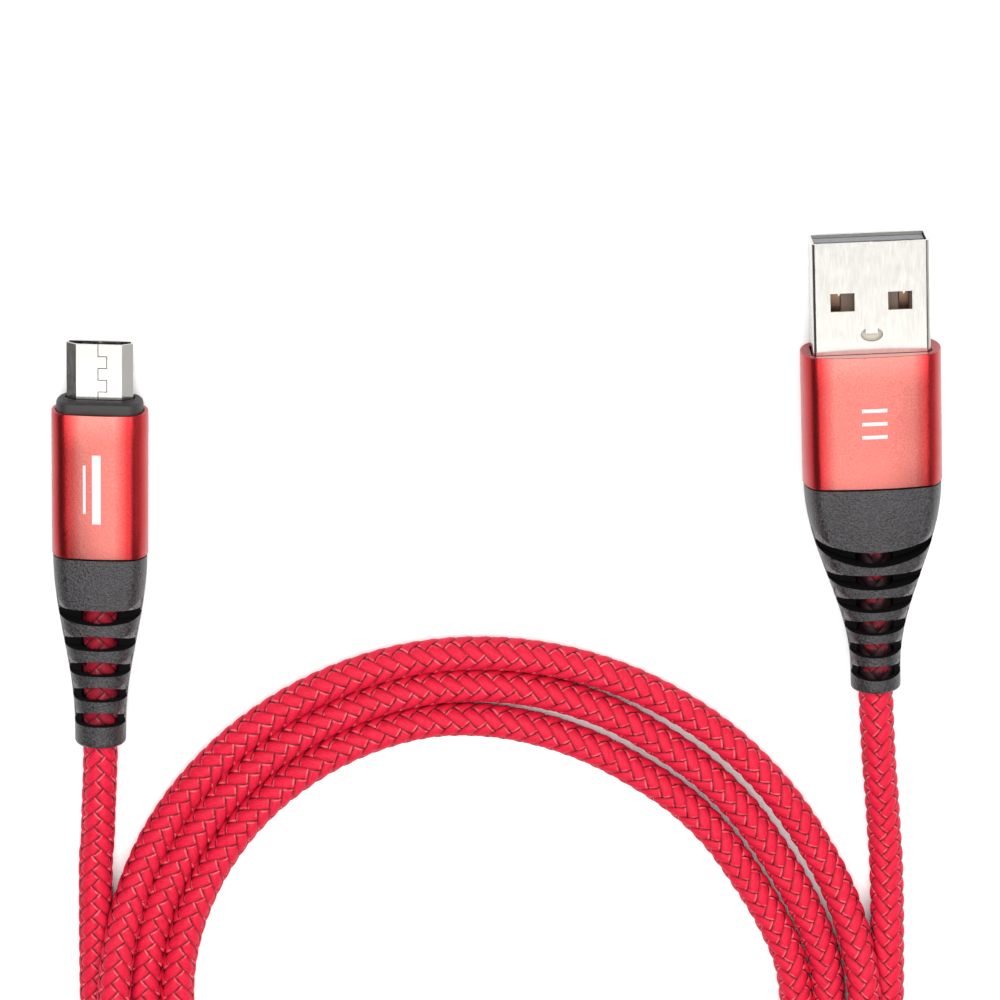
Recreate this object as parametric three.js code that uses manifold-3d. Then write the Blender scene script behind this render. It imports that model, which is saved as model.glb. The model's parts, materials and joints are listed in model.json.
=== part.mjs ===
// Braided charging cable with a USB-A plug and a Micro-B plug, lying flat beside its own coil.
// Millimetres, +Z up. Both plugs point along +Y and lie on z = 0. The origin is on that surface,
// at the middle of the rectangle that the two plugs span. Each plug is drawn in its own frame:
// +Y towards its tip, x = 0 on its axis, y = 0 at the back end of its sleeve, z = 0 underneath.
import * as THREE from 'three';
import { mergeVertices } from 'three/addons/utils/BufferGeometryUtils.js';
import Module from 'manifold-3d';

const wasm = await Module();
wasm.setup();

// ---- layout ----
const PLUG_SPAN_X = 92.4;
const PLUG_SPAN_Y = 55.2;
const USB_A_TURN = 2.5;
const MICRO_TURN = -1.6;

// ---- clearances and modelling steps ----
const GAP = 0.15;
const FIT = 0.1;
const SIDE_STEPS = 8;
const ROUND_STEPS = 24;
const COLLAR_EDGE_STEPS = 3;
const TOUCHING = 1e-5;
const OVERCUT = 1;

// ---- cord ----
const CORD_DIAMETER = 3.5;
const CORD_SIDES = 8;
const CORD_STEP = 7.7;
const CORD_LEAST_STEPS = 10;
const BORE_CLEARANCE = 0.25;
const COIL_CENTRE = [-0.7, -59.0];
const COIL_INNER_RADIUS = 29.2;
const COIL_OUTER_RADIUS = 43.8;
const COIL_HEIGHT = 6.9;
const COIL_EDGE = 1.2;
const COIL_STEPS = 56;

// The two stretches that aren't coiled, from each boot's end to the coil, as points on the centre line.
const MICRO_ROUTE = [
  [-42.0, -31.5, 2.75],
  [-42.3, -35.5, 2.35],
  [-42.6, -39.5, 1.85],
];
const USB_A_ROUTE = [
  [40.25, -25.0, 3.8],
  [40.65, -29.5, 3.2],
  [41.15, -34.0, 2.5],
  [41.6, -38.5, 1.9],
];
const ROUTE_END_HEIGHT = CORD_DIAMETER / 2;
const ROUTE_END_Y = -41.0;
const MICRO_ROUTE_END_X = -42.8;
const USB_A_ROUTE_END_X = 41.85;

// ---- USB-A plug ----
const USB_A = {
  sleeveLength: 14.0,
  sleeveHeight: 8.0,
  sleeveFlat: 10.6,
  sleeveSide: 1.9,
  sleeveWall: 0.6,
  sleeveFrontWall: 0.8,
  shellWidth: 12.0,
  shellHeight: 4.5,
  shellWall: 0.3,
  shellExposed: 11.6,
  shellBuried: 7.1,
  shellCorner: 0.5,
  windowWidth: 2.45,
  windowLength: 1.9,
  windowSpacing: 5.85,
  windowFromTip: 5.2,
  windowTooth: 0.3,
  windowToothShare: 0.3,
  holeWidth: 2.3,
  holeLength: 1.5,
  holeFromTip: 8.85,
  holeTabWidth: 1.25,
  holeTabLength: 0.7,
  holeTabThickness: 0.3,
  holeTabDrop: 0.18,
  insulatorThickness: 1.85,
  insulatorRecess: 0.35,
  mouthDepth: 9.2,
  contactWidth: 1.0,
  contactThickness: 0.25,
  contactPlaces: [-3.5, -1.0, 1.0, 3.5],
  contactRecess: 1.0,
  tailLength: 2.0,
  wireRadius: 0.45,
  mouldLength: 6.9,
  mouldDuctWidth: 9.4,
  mouldDuctHeight: 4.2,
  bootLength: 22.8,
  bootTaper: 20.5,
  bootEndRadius: 2.62,
  spigotLength: 1.2,
  slotCount: 6,
  slotFirst: 7.77,
  slotPitch: 2.55,
  slotWidth: 1.65,
  slotBowFirst: 1.7,
  slotBowLast: 0,
};

// ---- Micro-B plug ----
const MICRO = {
  sleeveLength: 15.5,
  sleeveHeight: 5.8,
  sleeveFlat: 6.0,
  sleeveSide: 2.0,
  sleeveWall: 0.4,
  collarLength: 1.2,
  collarEdge: 0.5,
  shellWidth: 6.85,
  shellNarrowWidth: 4.7,
  shellHeight: 1.8,
  shellSideHeight: 0.9,
  shellWall: 0.25,
  shellExposed: 5.85,
  shellBuried: 7.2,
  seamWidth: 0.08,
  seamOffset: 0.1,
  seamTooth: 0.9,
  seamPitch: 2.5,
  seamFirst: 1.25,
  insulatorWidth: 4.0,
  insulatorThickness: 0.4,
  insulatorRecess: 0.5,
  mouthDepth: 5.2,
  contactWidth: 0.37,
  contactThickness: 0.15,
  contactPlaces: [-1.3, -0.65, 0, 0.65, 1.3],
  contactRecess: 0.4,
  tailLength: 1.5,
  wireRadius: 0.3,
  latchPlace: 2.5,
  latchWidth: 0.6,
  latchThickness: 0.22,
  latchReach: 0.3,
  latchFromTip: 2.15,
  latchHookLength: 1.2,
  latchHookFlat: 0.4,
  latchRoot: 9.9,
  mouldDuctWidth: 6.2,
  mouldDuctHeight: 3.2,
  bootLength: 21.0,
  bootTaper: 19.0,
  bootEndRadius: 2.7,
  spigotLength: 1.2,
  slotCount: 5,
  slotFirst: 6.45,
  slotPitch: 2.82,
  slotWidth: 1.65,
  slotBowFirst: 0.4,
  slotBowLast: -0.5,
};

// ---- shared by both boots and their crimps ----
const BOOT_RADIAL_STEPS = 28;
const BOOT_RINGS = 12;
const BOOT_INSET = 0.1;
const SLOT_BOW_DECAY = 0.33;
const SLOT_REACH = 0.12;
const SLOT_BLUNTNESS = 0.7;
const SLOT_STEPS = 12;
const SIDE_WEB = 1.0;
const CRIMP_LENGTH = 2.2;
const CRIMP_WALL = 0.4;
const CORD_RADIUS = CORD_DIAMETER / 2;
const BORE_RADIUS = CORD_RADIUS + BORE_CLEARANCE;
const CRIMP_INNER_RADIUS = CORD_RADIUS + GAP;
const CRIMP_OUTER_RADIUS = CRIMP_INNER_RADIUS + CRIMP_WALL;
const CRIMP_POCKET_RADIUS = CRIMP_OUTER_RADIUS + GAP;
const CRIMP_FRONT = -0.4;
const CRIMP_BACK = CRIMP_FRONT - CRIMP_LENGTH;
const CORD_FRONT = CRIMP_FRONT - GAP;
const WIRE_STRAIGHT = 1.2;
const WIRE_STEPS = 8;
const WIRE_SIDE_STEPS = 4;

// ---- materials ----
function material(colour, roughness, metalness) {
  return new THREE.MeshStandardMaterial({ color: colour, roughness, metalness });
}

const anodised = () => material(0xd8323a, 0.35, 0.9);
const nickel = () => material(0xd9d6cc, 0.22, 1.0);
const gold = () => material(0xd9a441, 0.25, 1.0);
const springSteel = () => material(0xb9bbbd, 0.3, 1.0);
const blackMould = () => material(0x26262a, 0.6, 0.0);
const bootRubber = () => material(0x3a393d, 0.8, 0.0);
const insulatorPlastic = () => material(0x9fa3b3, 0.55, 0.0);
const braid = () => material(0xd92740, 0.75, 0.0);
const WIRE_COLOURS = { red: 0xc02020, white: 0xe8e8e4, green: 0x1f8a3c, black: 0x18181a };

// ---- solids ----
function toSolid(geometry) {
  const bare = geometry.clone();
  bare.deleteAttribute('normal');
  bare.deleteAttribute('uv');
  const merged = mergeVertices(bare, TOUCHING);
  const mesh = new wasm.Mesh({
    numProp: 3,
    vertProperties: Float32Array.from(merged.attributes.position.array),
    triVerts: Uint32Array.from(merged.index.array),
  });
  return new wasm.Manifold(mesh);
}

function toGeometry(solid) {
  const mesh = solid.getMesh();
  const geometry = new THREE.BufferGeometry();
  geometry.setAttribute('position', new THREE.BufferAttribute(mesh.vertProperties, 3));
  geometry.setIndex(new THREE.BufferAttribute(mesh.triVerts, 1));
  geometry.computeVertexNormals();
  return geometry;
}

function named(name, solid, look) {
  const mesh = new THREE.Mesh(toGeometry(solid), look);
  mesh.name = name;
  return mesh;
}

function box(xFrom, xTo, yFrom, yTo, zFrom, zTo) {
  const geometry = new THREE.BoxGeometry(xTo - xFrom, yTo - yFrom, zTo - zFrom);
  geometry.translate((xFrom + xTo) / 2, (yFrom + yTo) / 2, (zFrom + zTo) / 2);
  return toSolid(geometry);
}

// A shape drawn with x across and y as height, pulled along the plug's axis.
function alongAxis(shape, yFrom, yTo, zMiddle) {
  const geometry = new THREE.ExtrudeGeometry(shape, {
    depth: yTo - yFrom,
    bevelEnabled: false,
    curveSegments: SIDE_STEPS,
  });
  geometry.rotateX(Math.PI / 2);
  geometry.translate(0, yTo, zMiddle);
  return toSolid(geometry);
}

// A shape drawn in plan, pulled upwards.
function upwards(shape, zFrom, zTo, curveSegments = SIDE_STEPS) {
  const geometry = new THREE.ExtrudeGeometry(shape, {
    depth: zTo - zFrom,
    bevelEnabled: false,
    curveSegments,
  });
  geometry.translate(0, 0, zFrom);
  return toSolid(geometry);
}

function rod(radius, yFrom, yTo, zMiddle, steps = ROUND_STEPS) {
  const geometry = new THREE.CylinderGeometry(radius, radius, yTo - yFrom, steps);
  geometry.translate(0, (yFrom + yTo) / 2, zMiddle);
  return toSolid(geometry);
}

// Flat top and bottom joined by half-ellipse sides: the outline of both sleeves.
function sleeveShape(flat, side, height) {
  const shape = new THREE.Shape();
  shape.moveTo(-flat / 2, -height / 2);
  shape.lineTo(flat / 2, -height / 2);
  shape.absellipse(flat / 2, 0, side, height / 2, -Math.PI / 2, Math.PI / 2, false);
  shape.lineTo(-flat / 2, height / 2);
  shape.absellipse(-flat / 2, 0, side, height / 2, Math.PI / 2, 1.5 * Math.PI, false);
  return shape;
}

function inset(plug, distance) {
  return sleeveShape(plug.sleeveFlat, plug.sleeveSide - distance, plug.sleeveHeight - 2 * distance);
}

function roundedBox(width, height, corner) {
  const x = width / 2;
  const y = height / 2;
  const shape = new THREE.Shape();
  shape.moveTo(-x + corner, -y);
  shape.lineTo(x - corner, -y);
  shape.absarc(x - corner, -y + corner, corner, -Math.PI / 2, 0, false);
  shape.lineTo(x, y - corner);
  shape.absarc(x - corner, y - corner, corner, 0, Math.PI / 2, false);
  shape.lineTo(-x + corner, y);
  shape.absarc(-x + corner, y - corner, corner, Math.PI / 2, Math.PI, false);
  shape.lineTo(-x, -y + corner);
  shape.absarc(-x + corner, -y + corner, corner, Math.PI, 1.5 * Math.PI, false);
  return shape;
}

// ---- sleeves ----
function sleeveTube(plug) {
  const middle = plug.sleeveHeight / 2;
  return alongAxis(inset(plug, 0), 0, plug.sleeveLength, middle);
}

function usbASleeve(plug) {
  const middle = plug.sleeveHeight / 2;
  const hollowEnd = plug.sleeveLength - plug.sleeveFrontWall;
  const hollow = alongAxis(inset(plug, plug.sleeveWall), -OVERCUT, hollowEnd, middle);
  const mouth = alongAxis(
    roundedBox(plug.shellWidth + 2 * GAP, plug.shellHeight + 2 * GAP, plug.shellCorner + GAP),
    hollowEnd - OVERCUT, plug.sleeveLength + OVERCUT, middle);
  return sleeveTube(plug).subtract(hollow).subtract(mouth);
}

function microSleeve(plug) {
  const middle = plug.sleeveHeight / 2;
  const hollow = alongAxis(
    inset(plug, plug.sleeveWall), -OVERCUT, plug.sleeveLength + OVERCUT, middle);
  return sleeveTube(plug).subtract(hollow);
}

// ---- boots ----
// How much of the sleeve's width is left at a distance behind the sleeve: 1 at the front, 0 at the tail.
function bootShare(plug, distance) {
  const along = THREE.MathUtils.clamp(distance / plug.bootTaper, 0, 1);
  return (1 + Math.cos(Math.PI * along)) / 2;
}

function bootSection(plug, distance) {
  const share = bootShare(plug, distance);
  const flat = share * plug.sleeveFlat / 2;
  const frontSide = plug.sleeveSide - BOOT_INSET;
  const frontHeight = plug.sleeveHeight / 2 - BOOT_INSET;
  return {
    flat,
    side: plug.bootEndRadius + share * (frontSide - plug.bootEndRadius),
    halfHeight: plug.bootEndRadius + share * (frontHeight - plug.bootEndRadius),
  };
}

function bootHalfWidth(plug, distance) {
  const section = bootSection(plug, distance);
  return section.flat + section.side;
}

function bootBody(plug) {
  const length = plug.bootLength - GAP;
  const geometry = new THREE.CylinderGeometry(1, 1, length, BOOT_RADIAL_STEPS, BOOT_RINGS);
  geometry.translate(0, -GAP - length / 2, 0);
  const place = geometry.attributes.position;
  for (let i = 0; i < place.count; i += 1) {
    const section = bootSection(plug, -place.getY(i));
    const across = place.getX(i);
    const up = place.getZ(i);
    const onAxis = Math.abs(across) < TOUCHING;
    const flat = onAxis ? 0 : Math.sign(across) * section.flat * Math.min(1, Math.hypot(across, up));
    place.setX(i, flat + across * section.side);
    place.setZ(i, plug.sleeveHeight / 2 + up * section.halfHeight);
  }
  return toSolid(geometry);
}

// Slots are crescents with blunt ends in plan. The first ones bow towards the tail, the last ones
// towards the tip.
function slotShape(plug, index) {
  const middle = -(plug.slotFirst + index * plug.slotPitch);
  const bow = plug.slotBowLast
    + (plug.slotBowFirst - plug.slotBowLast) * SLOT_BOW_DECAY ** index;
  const tipY = middle + bow;
  const reach = bootHalfWidth(plug, -tipY) + SLOT_REACH;
  const edge = (turn, side) => {
    const halfWidth = plug.slotWidth / 2 * Math.cos(turn) ** SLOT_BLUNTNESS;
    const y = tipY - bow * Math.cos(turn) ** 2 + side * halfWidth;
    return [reach * Math.sin(turn), y];
  };
  const shape = new THREE.Shape();
  shape.moveTo(-reach, tipY);
  for (let i = 1; i < SLOT_STEPS; i += 1) {
    shape.lineTo(...edge(Math.PI * (i / SLOT_STEPS - 1 / 2), -1));
  }
  shape.lineTo(reach, tipY);
  for (let i = SLOT_STEPS - 1; i > 0; i -= 1) {
    shape.lineTo(...edge(Math.PI * (i / SLOT_STEPS - 1 / 2), 1));
  }
  return shape;
}

function boot(plug) {
  const middle = plug.sleeveHeight / 2;
  const spigot = alongAxis(
    inset(plug, plug.sleeveWall + GAP), -GAP - OVERCUT, plug.spigotLength, middle);
  let solid = bootBody(plug).add(spigot);
  solid = solid.subtract(rod(BORE_RADIUS, -plug.bootLength - OVERCUT, OVERCUT, middle));
  solid = solid.subtract(rod(CRIMP_POCKET_RADIUS, CRIMP_BACK - GAP, plug.spigotLength + OVERCUT, middle));
  for (let i = 0; i < plug.slotCount; i += 1) {
    const shape = slotShape(plug, i);
    const top = plug.sleeveHeight + OVERCUT;
    solid = solid.subtract(upwards(shape, middle + SIDE_WEB / 2, top));
    solid = solid.subtract(upwards(shape, -OVERCUT, middle - SIDE_WEB / 2));
  }
  return solid;
}

function crimp(plug) {
  const middle = plug.sleeveHeight / 2;
  const outer = rod(CRIMP_OUTER_RADIUS, CRIMP_BACK, CRIMP_FRONT, middle);
  return outer.subtract(rod(CRIMP_INNER_RADIUS, CRIMP_BACK - OVERCUT, CRIMP_FRONT + OVERCUT, middle));
}

// ---- USB-A shell, insulator and contacts ----
function usbATip(plug) {
  return plug.sleeveLength + plug.shellExposed;
}

function usbAShellBack(plug) {
  return plug.sleeveLength - plug.shellBuried;
}

// A rectangular window with a small pointed tooth in its front edge.
function windowShape(plug, xMiddle, toothSide) {
  const x = plug.windowWidth / 2;
  const front = usbATip(plug) - plug.windowFromTip;
  const back = front - plug.windowLength;
  const toothX = xMiddle + toothSide * x * plug.windowToothShare;
  const shape = new THREE.Shape();
  shape.moveTo(xMiddle - x, back);
  shape.lineTo(xMiddle + x, back);
  shape.lineTo(xMiddle + x, front);
  shape.lineTo(toothX + plug.windowTooth / 2, front);
  shape.lineTo(toothX, front - plug.windowTooth);
  shape.lineTo(toothX - plug.windowTooth / 2, front);
  shape.lineTo(xMiddle - x, front);
  return shape;
}

function ovalShape(width, length, yMiddle) {
  const shape = new THREE.Shape();
  shape.absellipse(0, yMiddle, width / 2, length / 2, 0, 2 * Math.PI, false);
  return shape;
}

function usbAShell(plug) {
  const middle = plug.sleeveHeight / 2;
  const tip = usbATip(plug);
  const back = usbAShellBack(plug);
  const wall = plug.shellWall;
  const outer = alongAxis(
    roundedBox(plug.shellWidth, plug.shellHeight, plug.shellCorner), back, tip, middle);
  const inner = alongAxis(
    roundedBox(plug.shellWidth - 2 * wall, plug.shellHeight - 2 * wall, plug.shellCorner - wall),
    back - OVERCUT, tip + OVERCUT, middle);
  let solid = outer.subtract(inner);
  const below = middle - plug.shellHeight;
  const above = middle + plug.shellHeight;
  for (const side of [-1, 1]) {
    const opening = windowShape(plug, side * plug.windowSpacing / 2, side);
    solid = solid.subtract(upwards(opening, below, above));
  }
  const top = middle + plug.shellHeight / 2;
  const holeMiddle = tip - plug.holeFromTip - plug.holeLength / 2;
  const oval = ovalShape(plug.holeWidth, plug.holeLength, holeMiddle);
  solid = solid.subtract(upwards(oval, middle, above));
  const tabFront = holeMiddle + plug.holeLength / 2 + wall;
  const tabTop = top - plug.holeTabDrop;
  const tab = box(-plug.holeTabWidth / 2, plug.holeTabWidth / 2,
    tabFront - plug.holeTabLength - wall, tabFront, tabTop - plug.holeTabThickness, tabTop);
  return solid.add(tab);
}

function usbAInsulator(plug) {
  const middle = plug.sleeveHeight / 2;
  const halfInside = plug.shellWidth / 2 - plug.shellWall - FIT;
  const floor = middle - plug.shellHeight / 2 + plug.shellWall + FIT;
  const deck = floor + plug.insulatorThickness;
  const tabLow = middle + plug.shellHeight / 2 - plug.holeTabDrop - plug.holeTabThickness;
  const ceiling = tabLow - FIT;
  const tip = usbATip(plug);
  const back = usbAShellBack(plug) + GAP;
  const blade = box(-halfInside, halfInside, back, tip - plug.insulatorRecess, floor, deck);
  const block = box(-halfInside, halfInside, back, tip - plug.mouthDepth, deck - FIT, ceiling);
  let solid = blade.add(block);
  for (const x of plug.contactPlaces) {
    const half = plug.contactWidth / 2 + FIT;
    solid = solid.subtract(box(x - half, x + half, back - OVERCUT,
      tip - plug.contactRecess + FIT, deck - plug.contactThickness, deck + 2 * FIT));
  }
  return solid;
}

function usbAContact(plug, x) {
  const middle = plug.sleeveHeight / 2;
  const deck = middle - plug.shellHeight / 2 + plug.shellWall + FIT + plug.insulatorThickness;
  const low = deck - plug.contactThickness + FIT;
  const half = plug.contactWidth / 2;
  const front = usbATip(plug) - plug.contactRecess;
  const back = usbAShellBack(plug) - plug.tailLength;
  return box(x - half, x + half, back, front, low, low + plug.contactThickness - FIT / 2);
}

function usbAMould(plug) {
  const middle = plug.sleeveHeight / 2;
  const back = plug.spigotLength + 2 * GAP;
  const front = back + plug.mouldLength;
  const outer = alongAxis(inset(plug, plug.sleeveWall + GAP), back, front, middle);
  const pocket = box(-plug.shellWidth, plug.shellWidth, usbAShellBack(plug) - GAP, front + OVERCUT,
    middle - plug.shellHeight / 2 - GAP, middle + plug.shellHeight / 2 + GAP);
  const duct = box(-plug.mouldDuctWidth / 2, plug.mouldDuctWidth / 2, back - OVERCUT, front,
    middle - plug.mouldDuctHeight / 2, middle + plug.mouldDuctHeight / 2);
  return outer.subtract(pocket).subtract(duct);
}

// ---- Micro-B shell, insulator, contacts and latches ----
function microTip(plug) {
  return plug.sleeveLength + plug.collarLength + plug.shellExposed;
}

function microShellBack(plug) {
  return plug.sleeveLength + plug.collarLength - plug.shellBuried;
}

// Wide face down, narrow face up, with sloping shoulders between them.
function microShellShape(plug, distance) {
  const bottom = -plug.shellHeight / 2 + distance;
  const top = plug.shellHeight / 2 - distance;
  const shoulder = bottom - distance + plug.shellSideHeight;
  const wide = plug.shellWidth / 2 - distance;
  const slope = (plug.shellWidth - plug.shellNarrowWidth) / 2 / (plug.shellHeight - plug.shellSideHeight);
  const narrow = plug.shellNarrowWidth / 2 + distance * slope - distance * Math.hypot(1, slope);
  const shape = new THREE.Shape();
  shape.moveTo(-wide, bottom);
  shape.lineTo(wide, bottom);
  shape.lineTo(wide, shoulder);
  shape.lineTo(narrow, top);
  shape.lineTo(-narrow, top);
  shape.lineTo(-wide, shoulder);
  return shape;
}

// The joint line of the bent shell: a straight slit with square teeth, drawn as a thin band.
function seamShape(plug) {
  const tip = microTip(plug) + OVERCUT;
  const back = microShellBack(plug) - OVERCUT;
  const line = [[0, tip]];
  let y = microTip(plug) - plug.seamFirst;
  let x = 0;
  while (y > back) {
    line.push([x, y]);
    x = plug.seamTooth - x;
    line.push([x, y]);
    y -= plug.seamPitch / 2;
  }
  line.push([x, back]);
  const half = plug.seamWidth / 2;
  const shape = new THREE.Shape();
  const edgePoint = (index, sign) => {
    const [px, py] = line[index];
    const isCorner = index > 0 && index < line.length - 1;
    const step = isCorner ? Math.sign(line[index + 1][0] - px || px - line[index - 1][0]) : 0;
    return [px - plug.seamOffset + sign * half, py + sign * half * step];
  };
  const right = line.map((_, index) => edgePoint(index, 1));
  const left = line.map((_, index) => edgePoint(index, -1)).reverse();
  [...right, ...left].forEach(([px, py], index) => {
    if (index === 0) shape.moveTo(px, py);
    else shape.lineTo(px, py);
  });
  return shape;
}

function latchWindow(plug, side) {
  const front = microTip(plug) - plug.latchFromTip + 2 * FIT;
  const back = front - plug.latchHookLength - 4 * FIT;
  const half = plug.latchWidth / 2 + GAP;
  const middle = plug.sleeveHeight / 2;
  const bottom = middle - plug.shellHeight / 2;
  return box(side * plug.latchPlace - half, side * plug.latchPlace + half, back, front,
    bottom - OVERCUT, bottom + plug.shellWall + FIT);
}

function microShell(plug) {
  const middle = plug.sleeveHeight / 2;
  const tip = microTip(plug);
  const back = microShellBack(plug);
  const outer = alongAxis(microShellShape(plug, 0), back, tip, middle);
  const inner = alongAxis(microShellShape(plug, plug.shellWall), back - OVERCUT, tip + OVERCUT, middle);
  let solid = outer.subtract(inner);
  solid = solid.subtract(upwards(seamShape(plug), middle, middle + plug.shellHeight));
  for (const side of [-1, 1]) solid = solid.subtract(latchWindow(plug, side));
  return solid;
}

function microInsulator(plug) {
  const middle = plug.sleeveHeight / 2;
  const half = plug.insulatorWidth / 2;
  const ceiling = middle + plug.shellHeight / 2 - plug.shellWall - FIT;
  const deck = ceiling - plug.insulatorThickness;
  const floor = middle - plug.shellHeight / 2 + plug.shellWall + FIT;
  const tip = microTip(plug);
  const back = microShellBack(plug) + GAP;
  const blade = box(-half, half, back, tip - plug.insulatorRecess, deck, ceiling);
  const block = box(-half, half, back, tip - plug.mouthDepth, floor, deck + FIT);
  let solid = blade.add(block);
  for (const x of plug.contactPlaces) {
    const reach = plug.contactWidth / 2 + FIT;
    solid = solid.subtract(box(x - reach, x + reach, back - OVERCUT,
      tip - plug.contactRecess, deck - 2 * FIT, deck + plug.contactThickness + FIT / 2));
  }
  return solid;
}

function microContact(plug, x) {
  const middle = plug.sleeveHeight / 2;
  const deck = middle + plug.shellHeight / 2 - plug.shellWall - FIT - plug.insulatorThickness;
  const half = plug.contactWidth / 2;
  const front = microTip(plug) - plug.insulatorRecess - plug.contactRecess;
  const back = microShellBack(plug) - plug.tailLength;
  const low = deck - FIT / 2;
  return box(x - half, x + half, back, front, low, low + plug.contactThickness);
}

// A leaf along the inside of the wide face whose hook stands out through the window.
function microLatch(plug, side) {
  const middle = plug.sleeveHeight / 2;
  const bottom = middle - plug.shellHeight / 2;
  const leafLow = bottom + plug.shellWall + GAP;
  const leafHigh = leafLow + plug.latchThickness;
  const front = microTip(plug) - plug.latchFromTip;
  const hookBack = front - plug.latchHookLength;
  const hookLow = bottom - plug.latchReach;
  const root = front - plug.latchRoot;
  const shape = new THREE.Shape();
  shape.moveTo(root, leafLow);
  shape.lineTo(hookBack, leafLow);
  shape.lineTo(hookBack + FIT, hookLow);
  shape.lineTo(hookBack + plug.latchHookFlat, hookLow);
  shape.lineTo(front, leafLow);
  shape.lineTo(front, leafHigh);
  shape.lineTo(root, leafHigh);
  const geometry = new THREE.ExtrudeGeometry(shape, { depth: plug.latchWidth, bevelEnabled: false });
  geometry.rotateX(Math.PI / 2);
  geometry.rotateZ(Math.PI / 2);
  geometry.translate(side * plug.latchPlace - plug.latchWidth / 2, 0, 0);
  return toSolid(geometry);
}

function microMould(plug) {
  const middle = plug.sleeveHeight / 2;
  const back = plug.spigotLength + 2 * GAP;
  const face = plug.sleeveLength + plug.collarLength;
  const shape = inset(plug, plug.sleeveWall + FIT);
  const edge = plug.collarEdge;
  const core = inset(plug, plug.sleeveWall + FIT + edge);
  const nose = new THREE.ExtrudeGeometry(core, {
    depth: 2 * edge,
    bevelEnabled: true,
    bevelThickness: edge,
    bevelSize: edge,
    bevelSegments: COLLAR_EDGE_STEPS,
    curveSegments: SIDE_STEPS,
  });
  nose.rotateX(Math.PI / 2);
  nose.translate(0, face - edge, middle);
  let solid = alongAxis(shape, back, face - edge, middle).add(toSolid(nose));
  const slot = alongAxis(microShellShape(plug, -GAP), microShellBack(plug) - GAP, face + OVERCUT, middle);
  const duct = box(-plug.mouldDuctWidth / 2, plug.mouldDuctWidth / 2, back - OVERCUT,
    microShellBack(plug), middle - plug.mouldDuctHeight / 2, middle + plug.mouldDuctHeight / 2);
  return solid.subtract(slot).subtract(duct);
}

// ---- wires ----
// Each wire runs from its corner of a two by two bundle at the cord's end to its contact's tail.
function wire(plug, from, to) {
  const points = [
    new THREE.Vector3(from[0], CORD_FRONT + 2 * GAP, from[1]),
    new THREE.Vector3(from[0], CORD_FRONT + 2 * GAP + WIRE_STRAIGHT, from[1]),
    new THREE.Vector3(to[0], to[1] - WIRE_STRAIGHT, to[2]),
    new THREE.Vector3(to[0], to[1], to[2]),
  ];
  const section = new THREE.Shape();
  section.absarc(0, 0, plug.wireRadius, 0, 2 * Math.PI, false);
  const geometry = new THREE.ExtrudeGeometry(section, {
    extrudePath: new THREE.CatmullRomCurve3(points, false, 'centripetal'),
    steps: WIRE_STEPS,
    curveSegments: WIRE_SIDE_STEPS,
    bevelEnabled: false,
  });
  return toSolid(geometry);
}

function bundlePlace(plug, column, row) {
  const offset = plug.wireRadius + FIT;
  return [column * offset, plug.sleeveHeight / 2 + row * offset];
}

// ---- the two plugs ----
function usbAPlug(plug) {
  const group = new THREE.Group();
  group.add(named('usb_a_shell', usbAShell(plug), nickel()));
  group.add(named('usb_a_insulator', usbAInsulator(plug), insulatorPlastic()));
  plug.contactPlaces.forEach((x, index) => {
    group.add(named(`usb_a_contact_${index + 1}`, usbAContact(plug, x), gold()));
  });
  group.add(named('usb_a_inner_mould', usbAMould(plug), blackMould()));
  const tailTop = plug.sleeveHeight / 2 - plug.shellHeight / 2 + plug.shellWall + FIT
    + plug.insulatorThickness + FIT;
  const wireEnd = usbAShellBack(plug) - GAP;
  const wireHeight = tailTop + plug.wireRadius + FIT;
  const order = [['black', -1, 1], ['green', -1, -1], ['white', 1, -1], ['red', 1, 1]];
  order.forEach(([colour, column, row], index) => {
    const to = [plug.contactPlaces[index], wireEnd, wireHeight];
    const look = material(WIRE_COLOURS[colour], 0.5, 0);
    group.add(named(`usb_a_wire_${colour}`, wire(plug, bundlePlace(plug, column, row), to), look));
  });
  group.add(named('usb_a_crimp', crimp(plug), springSteel()));
  group.add(named('usb_a_sleeve', usbASleeve(plug), anodised()));
  group.add(named('usb_a_boot', boot(plug), bootRubber()));
  return group;
}

function microPlug(plug) {
  const group = new THREE.Group();
  group.add(named('micro_shell', microShell(plug), nickel()));
  group.add(named('micro_insulator', microInsulator(plug), insulatorPlastic()));
  plug.contactPlaces.forEach((x, index) => {
    group.add(named(`micro_contact_${index + 1}`, microContact(plug, x), gold()));
  });
  group.add(named('micro_latch_left', microLatch(plug, -1), springSteel()));
  group.add(named('micro_latch_right', microLatch(plug, 1), springSteel()));
  group.add(named('micro_inner_mould', microMould(plug), blackMould()));
  const deck = plug.sleeveHeight / 2 + plug.shellHeight / 2 - plug.shellWall - FIT
    - plug.insulatorThickness;
  const wireEnd = microShellBack(plug) - GAP;
  const above = deck + plug.contactThickness + plug.wireRadius + FIT;
  const below = deck - plug.wireRadius - 2 * FIT;
  const order = [['red', -1, 1, 0, above], ['white', -1, -1, 1, below],
    ['green', 1, -1, 3, below], ['black', 1, 1, 4, above]];
  for (const [colour, column, row, contact, height] of order) {
    const to = [plug.contactPlaces[contact], wireEnd, height];
    const look = material(WIRE_COLOURS[colour], 0.5, 0);
    group.add(named(`micro_wire_${colour}`, wire(plug, bundlePlace(plug, column, row), to), look));
  }
  group.add(named('micro_crimp', crimp(plug), springSteel()));
  group.add(named('micro_sleeve', microSleeve(plug), anodised()));
  group.add(named('micro_boot', boot(plug), bootRubber()));
  return group;
}

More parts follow.
